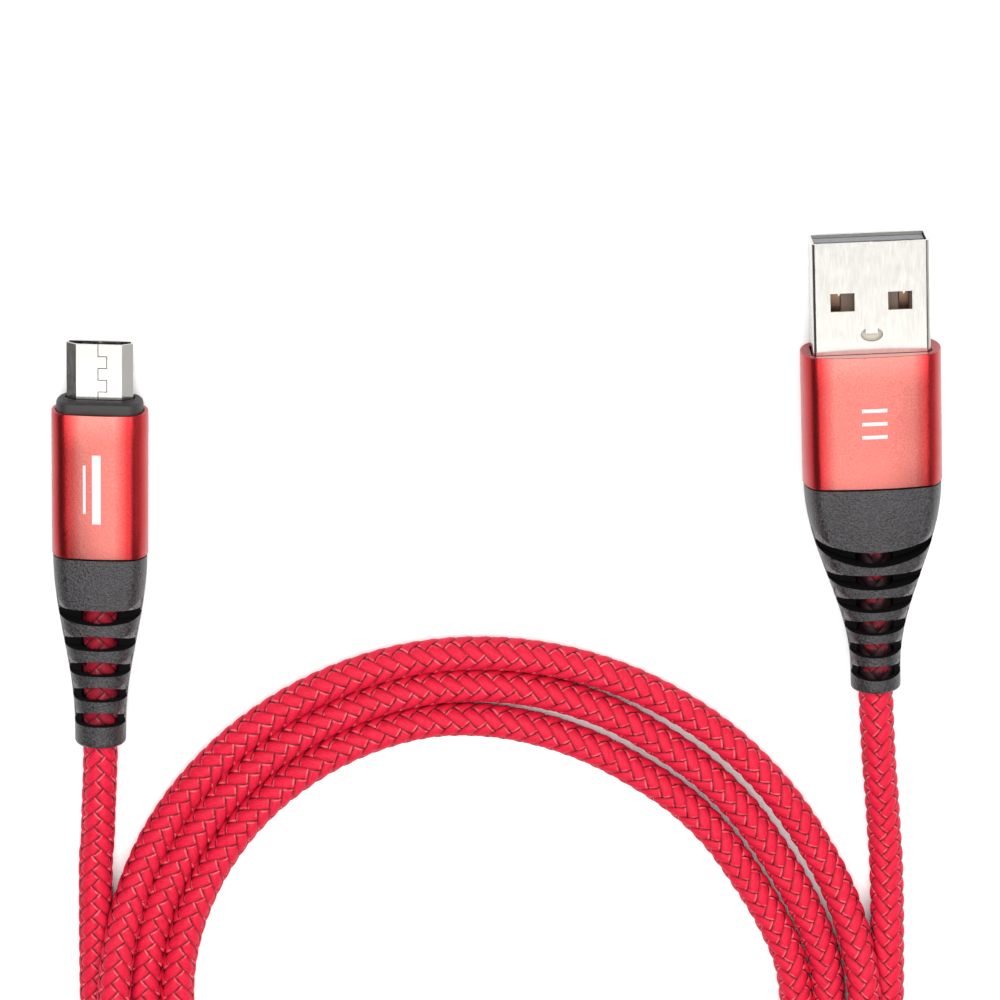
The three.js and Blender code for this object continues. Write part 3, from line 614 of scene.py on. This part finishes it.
# ======================================================================= cord
def cord_line():
    """The cord's centreline in millimetres, from inside the Micro-B boot to inside the USB-A boot."""
    boot = MICRO["boot_length"]
    start = [in_plug(MICRO, y) for y in (CORD_FRONT, -boot / 2, -boot)]
    boot = USB_A["boot_length"]
    finish = [in_plug(USB_A, y) for y in (-boot, -boot / 2, CORD_FRONT)]
    first, last = COIL_KEYS[0][0], COIL_KEYS[-1][0]
    steps = round((last - first) / 360 * POINTS_PER_TURN)
    angles = np.linspace(first, last, steps + 1)
    shape = curve_through(COIL_KEYS, angles)
    turn = np.radians(angles)
    coil = np.stack([
        COIL_CENTRE[0] + shape[:, 0] * np.cos(turn),
        COIL_CENTRE[1] + shape[:, 0] * np.sin(turn),
        shape[:, 1],
    ], axis=1)
    route = np.array([*MICRO_ROUTE, *coil, *USB_A_ROUTE]) + (0, 0, BRAID_LIFT)
    return spline_line([*start, *route, *finish], LINE_STEP)


def line_frames(line):
    """Sideways and upward directions at each point of the line; the line is never upright."""
    tangent = np.gradient(line, axis=0)
    tangent /= np.linalg.norm(tangent, axis=1)[:, None]
    side = np.cross(tangent, (0, 0, 1.0))
    side /= np.linalg.norm(side, axis=1)[:, None]
    return side, np.cross(side, tangent)


def on_cord(line, step, side, up, along, angle, radius):
    """Points at a distance along the cord, an angle round it and a radius, in the row frame."""
    at = along / step
    low = np.clip(at.astype(int), 0, len(line) - 2)
    share = np.clip(at - low, 0, 1)[..., None]

    def between(values):
        return values[low] * (1 - share) + values[low + 1] * share

    around = np.cos(angle)[..., None] * between(side) + np.sin(angle)[..., None] * between(up)
    return between(line) + radius[..., None] * around


def cord_shade_in_boots(points):
    """Painted shade on the cord: 1 where it lies in the dark inside a boot, less where light reaches it
    through a slot.
    """
    painted_cord_shade = np.zeros(len(points))
    for plug, depth, dark in LIT_IN_SLOTS:
        turned = np.array(plug["matrix"].inverted())
        local = points @ turned[:3, :3].T + turned[:3, 3] / MM
        x, y = local[:, 0], local[:, 1]
        in_boot = (y < 0) & (y > CORD_OUT - plug["boot_length"]) & (np.abs(x) < CORD_DIAMETER)
        painted_cord_shade[in_boot] = 1.0
        for index in range(plug["slots"]):
            front = slot_middle(plug, index) + SLOT_WIDTH / 2
            reach = LIT_FIRST + LIT_GROWTH * index if plug is USB_A else CORD_DIAMETER
            painted_cord_shade[in_boot & (y < front) & (y > front - depth) & (np.abs(x) < reach)] = dark
    return painted_cord_shade


def yarn_height(column):
    """1 where a yarn of the first direction lies over two others, -1 where it passes under two."""
    wave = np.cos(math.pi / 2 * column + math.pi / 4)
    return np.tanh(YARN_SQUARENESS * wave) / math.tanh(YARN_SQUARENESS)


def braid_mesh(line):
    """Two sets of flat yarns, wound both ways, each over two and under two of the others.

    It gives the vertices, the faces, each vertex's place on its yarn, how far over the others it
    lies, and how near it is to its yarn's edge.
    """
    side, up = line_frames(line)
    step = np.linalg.norm(np.diff(line, axis=0), axis=1).mean()
    total = step * (len(line) - 1)
    columns_per_mm = 1 / BRAID_PERIOD
    middle = OUTER_RADIUS - YARN_DOME - YARN_WAVE
    across = np.linspace(-1, 1, YARN_ACROSS)
    dome = YARN_DOME * (1 - np.abs(across) ** DOME_POWER)
    strips = YARN_ACROSS - 1
    vertices, faces, yarn_uv, over, edge = [], [], [], [], []
    count = 0
    for direction in (1, -1):
        for index in range(CARRIERS):
            # own is the yarn's number, other runs along it and counts the yarns that it crosses
            reach = 2 * total * columns_per_mm
            other = np.arange(0, reach + 2 * CARRIERS, 1 / STEPS_PER_CROSSING)[:, None]
            other = other + index + np.zeros(YARN_ACROSS)
            height = direction * yarn_height(direction * (index + other))
            width = YARN_WIDTH * (1 - YARN_NARROWING * (1 - height) / 2)
            own = index + width * across / 2
            along = (other - own) / columns_per_mm / 2
            keep = (along.max(1) > 0) & (along.min(1) < total)
            along, other, own, height = along[keep], other[keep], own[keep], height[keep]
            angle = math.pi / CARRIERS * (own + other) * direction + BRAID_TURN
            radius = middle + YARN_WAVE * height + dome
            points = on_cord(line, step, side, up, np.clip(along, 0, total), angle, radius)
            rings = len(points)
            vertices.append(points.reshape(-1, 3))
            base = np.arange((rings - 1) * strips)
            corner = (base // strips) * YARN_ACROSS + base % strips + count
            beyond = corner + YARN_ACROSS
            quad = np.stack([corner, corner + 1, beyond + 1, beyond], axis=1)
            faces.append(quad if direction > 0 else quad[:, ::-1])
            place = np.broadcast_to(across, other.shape)
            shifted = [place + FILAMENT_SHIFT[0] * index, other + FILAMENT_SHIFT[1] * index]
            yarn_uv.append(np.stack(shifted, axis=2).reshape(-1, 2))
            over.append(((height + 1) / 2).reshape(-1))
            edge.append(np.abs(place).reshape(-1))
            count += rings * YARN_ACROSS
    stations = np.arange(0, total, CORE_STEP)
    turn = np.linspace(0, 2 * math.pi, CORE_SIDES, endpoint=False)
    along, angle = np.meshgrid(stations, turn, indexing="ij")
    points = on_cord(line, step, side, up, along, angle, np.full(along.shape, CORE_RADIUS))
    vertices.append(points.reshape(-1, 3))
    core = np.array(ring_faces(len(stations), CORE_SIDES)) + count
    faces.append(core)
    yarn_uv.append(np.zeros((along.size, 2)))
    over.append(np.zeros(along.size))
    edge.append(np.ones(along.size))
    tables = [np.vstack(rows) for rows in (vertices, faces, yarn_uv)]
    return *tables, np.concatenate(over), np.concatenate(edge)


def make_cord():
    line = cord_line()
    points, quads, yarn_uv, over, edge = braid_mesh(line)
    mesh = bpy.data.meshes.new("cord")
    mesh.vertices.add(len(points))
    mesh.vertices.foreach_set("co", (points * MM).ravel())
    mesh.loops.add(quads.size)
    mesh.loops.foreach_set("vertex_index", quads.ravel())
    mesh.polygons.add(len(quads))
    mesh.polygons.foreach_set("loop_start", np.arange(0, quads.size, 4))
    mesh.polygons.foreach_set("use_smooth", np.ones(len(quads), bool))
    mesh.update(calc_edges=True)
    layer = mesh.uv_layers.new(name="yarn")
    layer.data.foreach_set("uv", yarn_uv[quads.ravel()].ravel())
    for name, values in (("over", over), ("across", edge), ("painted_cord_shade", cord_shade_in_boots(points))):
        mesh.attributes.new(name, "FLOAT", "POINT").data.foreach_set("value", values)
    mesh.materials.append(BRAID)
    cord = bpy.data.objects.new("cord", mesh)
    bpy.context.scene.collection.objects.link(cord)
    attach(cord, "cable")
    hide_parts("cord_tail_micro", "cord_tail_usb_a", "cord_coil")


# ======================================================================= sleeves
def sleeve_outline(plug, inset=0.0):
    """Crowned top and bottom joined by rounded sides, as x and height over the middle."""
    flat = plug["flat"] / 2
    half = plug["height"] / 2
    shoulder = half - plug["crown"]
    top = [(x, half - plug["crown"] * (x / flat) ** 2) for x in np.linspace(-flat, flat, FLAT_STEPS + 1)]
    turn = np.linspace(math.pi / 2, 0, SIDE_STEPS // 2 + 1)[1:]
    quarter = [(flat + plug["side"] * math.cos(a), shoulder * math.sin(a)) for a in turn]
    upper = [(-x, z) for x, z in quarter[::-1]] + top + quarter
    lower = [(x, -z) for x, z in upper[::-1]][1:-1]
    outline = np.array(upper + lower)
    if inset:
        edge = np.roll(outline, -1, axis=0) - np.roll(outline, 1, axis=0)
        normal = np.stack([-edge[:, 1], edge[:, 0]], axis=1)
        normal /= np.linalg.norm(normal, axis=1)[:, None]
        outline = outline - inset * normal
    return outline


def rounded_box_outline(width, height, corner, angles):
    """A rounded rectangle's points at the given angles round its middle."""
    outline = []
    for angle in angles:
        dx, dz = math.cos(angle), math.sin(angle)
        far = FAR_OUTSIDE
        near = 0.0
        for _ in range(HALVINGS):
            reach = (far + near) / 2
            x = abs(reach * dx) - (width / 2 - corner)
            z = abs(reach * dz) - (height / 2 - corner)
            inside = math.hypot(max(x, 0), max(z, 0)) + min(max(x, z), 0) < corner
            near, far = (reach, far) if inside else (near, reach)
        outline.append((near * dx, near * dz))
    return np.array(outline)


def make_sleeve(plug, material):
    outline = sleeve_outline(plug)
    length = plug["length"]
    stations = [(y, sleeve_outline(plug, i)) for y, i in
                [(0.0, EDGE_ROUND), (REAR_CHAMFER, REAR_CHAMFER), (EDGE_ROUND, 0.0)]]
    stations += [(length * share, outline) for share in (0.25, 0.5, 0.75)]
    front = [(EDGE_ROUND, 0.0), (FRONT_CHAMFER, FRONT_CHAMFER), (0.0, EDGE_ROUND)]
    stations += [(length - back, sleeve_outline(plug, i)) for back, i in front]
    if plug["mouth"]:
        angles = np.arctan2(outline[:, 1], outline[:, 0])
        hole = rounded_box_outline(*plug["mouth"], angles)
        face = sleeve_outline(plug, EDGE_ROUND)
        lip = (1 - MOUTH_LIP_SHARE) * face + MOUTH_LIP_SHARE * hole
        stations += [(length - MOUTH_LIP, lip)]
        stations += [(length - MOUTH_EDGE, hole), (length - plug["front_wall"], hole)]
    else:
        inner = sleeve_outline(plug, plug["wall"])
        stations += [(length - INNER_EDGE, inner), (length - INNER_DEPTH, inner)]
    vertices = []
    for y, shape in stations:
        for x, z in shape:
            vertices.append((x, y, plug["middle"] + z))
    faces = ring_faces(len(stations), len(outline))
    name = f"{plug['prefix']}_sleeve_skin"
    sleeve = mesh_object(name, vertices, faces, material, plug["matrix"], sharp=35)
    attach(sleeve, "cable")
    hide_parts(f"{plug['prefix']}_sleeve")
    return sleeve


# ======================================================================= boots
def boot_share(plug, distance):
    along = np.clip(distance / plug["boot_taper"], 0, 1)
    return (1 + np.cos(math.pi * along)) / 2


def boot_half_width(plug, distance):
    share = boot_share(plug, distance)
    side = plug["side"] - BOOT_INSET
    return share * plug["flat"] / 2 + plug["boot_end_radius"] + share * (side - plug["boot_end_radius"])


def slot_middle(plug, index):
    return -(plug["slot_first"] + index * plug["slot_pitch"])


def slot_line(plug, index, side, share):
    """Points of a slot in plan, from its left tip at share -1 to its right tip at share 1.

    Side is -1 for its edge towards the tail, 1 for its edge towards the plug and 0 for its middle.
    """
    share = np.asarray(share, float)
    fade = SLOT_BOW_DECAY**index
    bow = plug["slot_bow_last"] + (plug["slot_bow_first"] - plug["slot_bow_last"]) * fade
    tip = slot_middle(plug, index) + bow
    reach = boot_half_width(plug, -tip) + SLOT_REACH
    left = np.clip(1 - share**2, 0, 1)
    half_width = SLOT_WIDTH / 2 * left ** (SLOT_BLUNTNESS / 2)
    return reach * share, tip - bow * left + side * half_width


def boot_body(plug, inset=0.0):
    """The tapered body, closed at both ends, with a rounded tail."""
    frontal = sleeve_outline(plug, BOOT_INSET + inset)
    first = math.atan2(frontal[0, 1], frontal[0, 0])
    # towards the tail the outline becomes a circle whose points are evenly spread
    turn = first - np.linspace(0, 2 * math.pi, len(frontal), endpoint=False)
    end = plug["boot_end_radius"] - inset
    circle = end * np.stack([np.cos(turn), np.sin(turn)], axis=1)
    length = plug["boot_length"]
    stations = [(y, 0.0) for y in np.linspace(BOOT_GAP, length - BOOT_EDGE, BOOT_STATIONS)]
    for turn in np.linspace(0, math.pi / 2, EDGE_STATIONS)[1:]:
        stations.append((length - BOOT_EDGE + BOOT_EDGE * math.sin(turn), BOOT_EDGE * (1 - math.cos(turn))))
    vertices = []
    for distance, drawn_in in stations:
        share = float(boot_share(plug, distance))
        shape = (share * frontal + (1 - share) * circle) * (1 - drawn_in / end)
        vertices += [(x, -distance, plug["middle"] + z) for x, z in shape]
    count = len(frontal)
    faces = ring_faces(len(stations), count)
    faces.append(tuple(range(count))[::-1])
    faces.append(tuple(range((len(stations) - 1) * count, len(stations) * count)))
    return vertices, faces


def prism(outline, low, high):
    """A closed solid over a plan outline."""
    count = len(outline)
    vertices = [(x, y, low) for x, y in outline] + [(x, y, high) for x, y in outline]
    faces = ring_faces(2, count)
    faces += [tuple(range(count))[::-1], tuple(range(count, 2 * count))]
    return vertices, faces


def joined(solids):
    """Several solids as one list of vertices and one of faces."""
    vertices, faces = [], []
    for some_vertices, some_faces in solids:
        faces += [tuple(i + len(vertices) for i in face) for face in some_faces]
        vertices += some_vertices
    return vertices, faces


def over_and_under(plug, outline):
    """Prisms over a plan outline that leave the web along each side of the boot whole."""
    return [
        prism(outline, plug["middle"] + SIDE_WEB / 2, plug["height"] + 1),
        prism(outline, -1, plug["middle"] - SIDE_WEB / 2),
    ]


def slot_cutters(plug):
    """All slots of a boot: crescents with blunt ends, cut from the top and from the bottom."""
    share = np.sin(np.linspace(-math.pi / 2, math.pi / 2, SLOT_STEPS + 1))
    solids = []
    for index in range(plug["slots"]):
        back = list(zip(*slot_line(plug, index, -1, share)))
        front = list(zip(*slot_line(plug, index, 1, share[::-1])))
        solids += over_and_under(plug, back + front[1:-1])
    return joined(solids)


def step_cutters(plug):
    """The three-cornered areas in front of each slot's ends, where the boot is slightly lower."""
    solids = []
    for index in range(plug["slots"]):
        rise = plug["step_first"] if index == 0 else plug["step_rest"]
        share = np.linspace(STEP_START, 1.0, STEP_STEPS)
        for hand in (-1, 1):
            x, low = slot_line(plug, index, 0, hand * share)
            _, high = slot_line(plug, index, 1, hand * share)
            # the outermost point lies a little past the boot's side
            x = x * (1 + STEP_OVERCUT * (share == share[-1]))
            grown = (share - STEP_START) / (1 - STEP_START)
            high = np.maximum(high[0] + rise * grown**STEP_CURVE, high)
            outline = list(zip(x, low)) + list(zip(x[::-1], high[::-1]))
            solids += over_and_under(plug, outline[::hand])
    return joined(solids)


def cylinder(radius, y_from, y_to, middle, sides=48):
    turn = np.linspace(0, 2 * math.pi, sides, endpoint=False)
    circle = [(radius * math.cos(a), middle + radius * math.sin(a)) for a in turn]
    vertices = [(x, y, z) for y in (y_from, y_to) for x, z in circle]
    faces = ring_faces(2, sides)
    faces += [tuple(range(sides))[::-1], tuple(range(sides, 2 * sides))]
    return vertices, faces


def outward(vertices, faces, name, material):
    """The mesh as an object whose faces all look outwards."""
    thing = mesh_object(name, vertices, faces, material)
    work = bmesh.new()
    work.from_mesh(thing.data)
    bmesh.ops.recalc_face_normals(work, faces=work.faces)
    work.to_mesh(thing.data)
    work.free()
    return thing


def cut(thing, cutter):
    """Takes the cutter out of the thing and removes it. The cut faces keep the cutter's material."""
    modifier = thing.modifiers.new("cut", "BOOLEAN")
    modifier.operation = "DIFFERENCE"
    modifier.solver = "EXACT"
    modifier.material_mode = "TRANSFER"
    modifier.use_self = False
    modifier.object = cutter
    graph = bpy.context.evaluated_depsgraph_get()
    mesh = bpy.data.meshes.new_from_object(thing.evaluated_get(graph))
    thing.modifiers.clear()
    old = thing.data
    thing.data = mesh
    bpy.data.meshes.remove(old)
    bpy.data.objects.remove(cutter)


def make_boot(plug):
    name = f"{plug['prefix']}_boot_skin"
    boot = outward(*boot_body(plug), name, BOOT_RUBBER)
    steps = outward(*step_cutters(plug), "steps", BOOT_STEP)
    cut(steps, outward(*boot_body(plug, STEP_DEPTH), "inside", BOOT_STEP))
    cut(boot, steps)
    # the bore and the slots' walls take the near-black rubber of the painted shade
    bore = cylinder(BORE_RADIUS, -plug["boot_length"] - 1, 1, plug["middle"])
    cut(boot, outward(*bore, "bore", BOOT_SHADE_RUBBER))
    cut(boot, outward(*slot_cutters(plug), "slots", BOOT_SHADE_RUBBER))
    boot.matrix_world = plug["matrix"]
    mesh = boot.data
    mesh.polygons.foreach_set("use_smooth", [True] * len(mesh.polygons))
    mesh.set_sharp_from_angle(angle=math.radians(32))
    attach(boot, "cable")
    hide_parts(f"{plug['prefix']}_boot")
    return boot


make_cord()
make_sleeve(USB_A, anodised_red(USB_A_MARKS, USB_A["height"], USB_A["flat"]))
make_sleeve(MICRO, anodised_red(MICRO_MARKS, MICRO["height"], MICRO["flat"]))
make_boot(USB_A)
make_boot(MICRO)


# ======================================================================= CAD pieces with rounded edges
def refined(node, plug, material, edge_mm, body="cable", angle=28):
    """A copy of a CAD node in its plug's frame, with its flat faces joined and its edges rounded."""
    turned = np.array(plug["matrix"].inverted())
    points = node_points(node) @ turned[:3, :3].T + turned[:3, 3]
    source = frame["nodes"][node].data
    mesh = bpy.data.meshes.new(f"{node}_skin")
    mesh.from_pydata(points.tolist(), [], [tuple(p.vertices) for p in source.polygons])
    work = bmesh.new()
    work.from_mesh(mesh)
    bmesh.ops.remove_doubles(work, verts=work.verts, dist=2e-6)
    bmesh.ops.dissolve_limit(work, angle_limit=math.radians(1.0), verts=work.verts, edges=work.edges)
    work.to_mesh(mesh)
    work.free()
    mesh.polygons.foreach_set("use_smooth", [True] * len(mesh.polygons))
    mesh.set_sharp_from_angle(angle=math.radians(angle))
    mesh.materials.append(material)
    thing = bpy.data.objects.new(mesh.name, mesh)
    bpy.context.scene.collection.objects.link(thing)
    thing.matrix_world = plug["matrix"]
    rounding = thing.modifiers.new("rounded_edges", "BEVEL")
    rounding.width = edge_mm * MM
    rounding.segments = 2
    rounding.limit_method = "ANGLE"
    rounding.angle_limit = math.radians(angle)
    rounding.harden_normals = True
    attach(thing, body)
    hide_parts(node)
    return thing


refined("usb_a_shell", USB_A, NICKEL, 0.05)
refined("micro_shell", MICRO, NICKEL, 0.02)
refined("usb_a_insulator", USB_A, INSULATOR, 0.05)
refined("micro_insulator", MICRO, MICRO_INSULATOR, 0.03)
refined("usb_a_inner_mould", USB_A, BLACK_MOULD, 0.05)
refined("micro_inner_mould", MICRO, BLACK_MOULD, 0.06)
for number in range(1, 5):
    refined(f"usb_a_contact_{number}", USB_A, USB_A_GOLD, 0.05)
for number in range(1, 6):
    refined(f"micro_contact_{number}", MICRO, GOLD, 0.03)
for hand in ("left", "right"):
    refined(f"micro_latch_{hand}", MICRO, STEEL, 0.03, body=f"latch_{hand}")
for plug in (USB_A, MICRO):
    refined(f"{plug['prefix']}_crimp", plug, STEEL, 0.05)
    for colour, material in WIRES.items():
        refined(f"{plug['prefix']}_wire_{colour}", plug, material, 0.01, angle=60)


# ======================================================================= floor and light
FLOOR_COLOUR = (0.98, 0.98, 0.98)
FLOOR_HALF = 1.2
WORLD_STRENGTH = 0.1


def make_floor():
    material = new_material("floor", FLOOR_COLOUR, 0.9)[0]
    half = FLOOR_HALF
    corners = [(-half, -half, 0), (half, -half, 0), (half, half, 0), (-half, half, 0)]
    floor = mesh_object("floor", np.array(corners) / MM, [(0, 1, 2, 3)], material)


def panel(name, place, target, width, depth, radiance):
    """A soft light panel whose face has the given radiance."""
    data = bpy.data.lights.new(name, "AREA")
    data.shape = "RECTANGLE"
    data.size = width
    data.size_y = depth
    data.energy = radiance * math.pi * width * depth
    light = bpy.data.objects.new(name, data)
    bpy.context.scene.collection.objects.link(light)
    light.location = place
    aim = Vector(target) - Vector(place)
    light.rotation_euler = aim.to_track_quat("-Z", "Y").to_euler()


def make_light():
    world = bpy.data.worlds.new("studio")
    bpy.context.scene.world = world
    world.use_nodes = True
    background = world.node_tree.nodes["Background"]
    background.inputs["Color"].default_value = (1, 1, 1, 1)
    background.inputs["Strength"].default_value = WORLD_STRENGTH
    panel("overhead", (0, 0.28, 0.55), (0, 0.28, 0), 0.9, 0.66, 4.2)
    panel("strip", (0, -0.095, 0.55), (0, -0.095, 0), 0.6, 0.09, 1.45)
    panel("overhead_back", (0.04, -0.4, 0.55), (0.04, -0.4, 0), 0.5, 0.52, 3.4)
    panel("right_wall", (0.62, 0, 0.22), (0, 0, 0.0), 0.9, 0.36, 0.9)


make_floor()
make_light()
bpy.context.scene.view_settings.view_transform = "Standard"
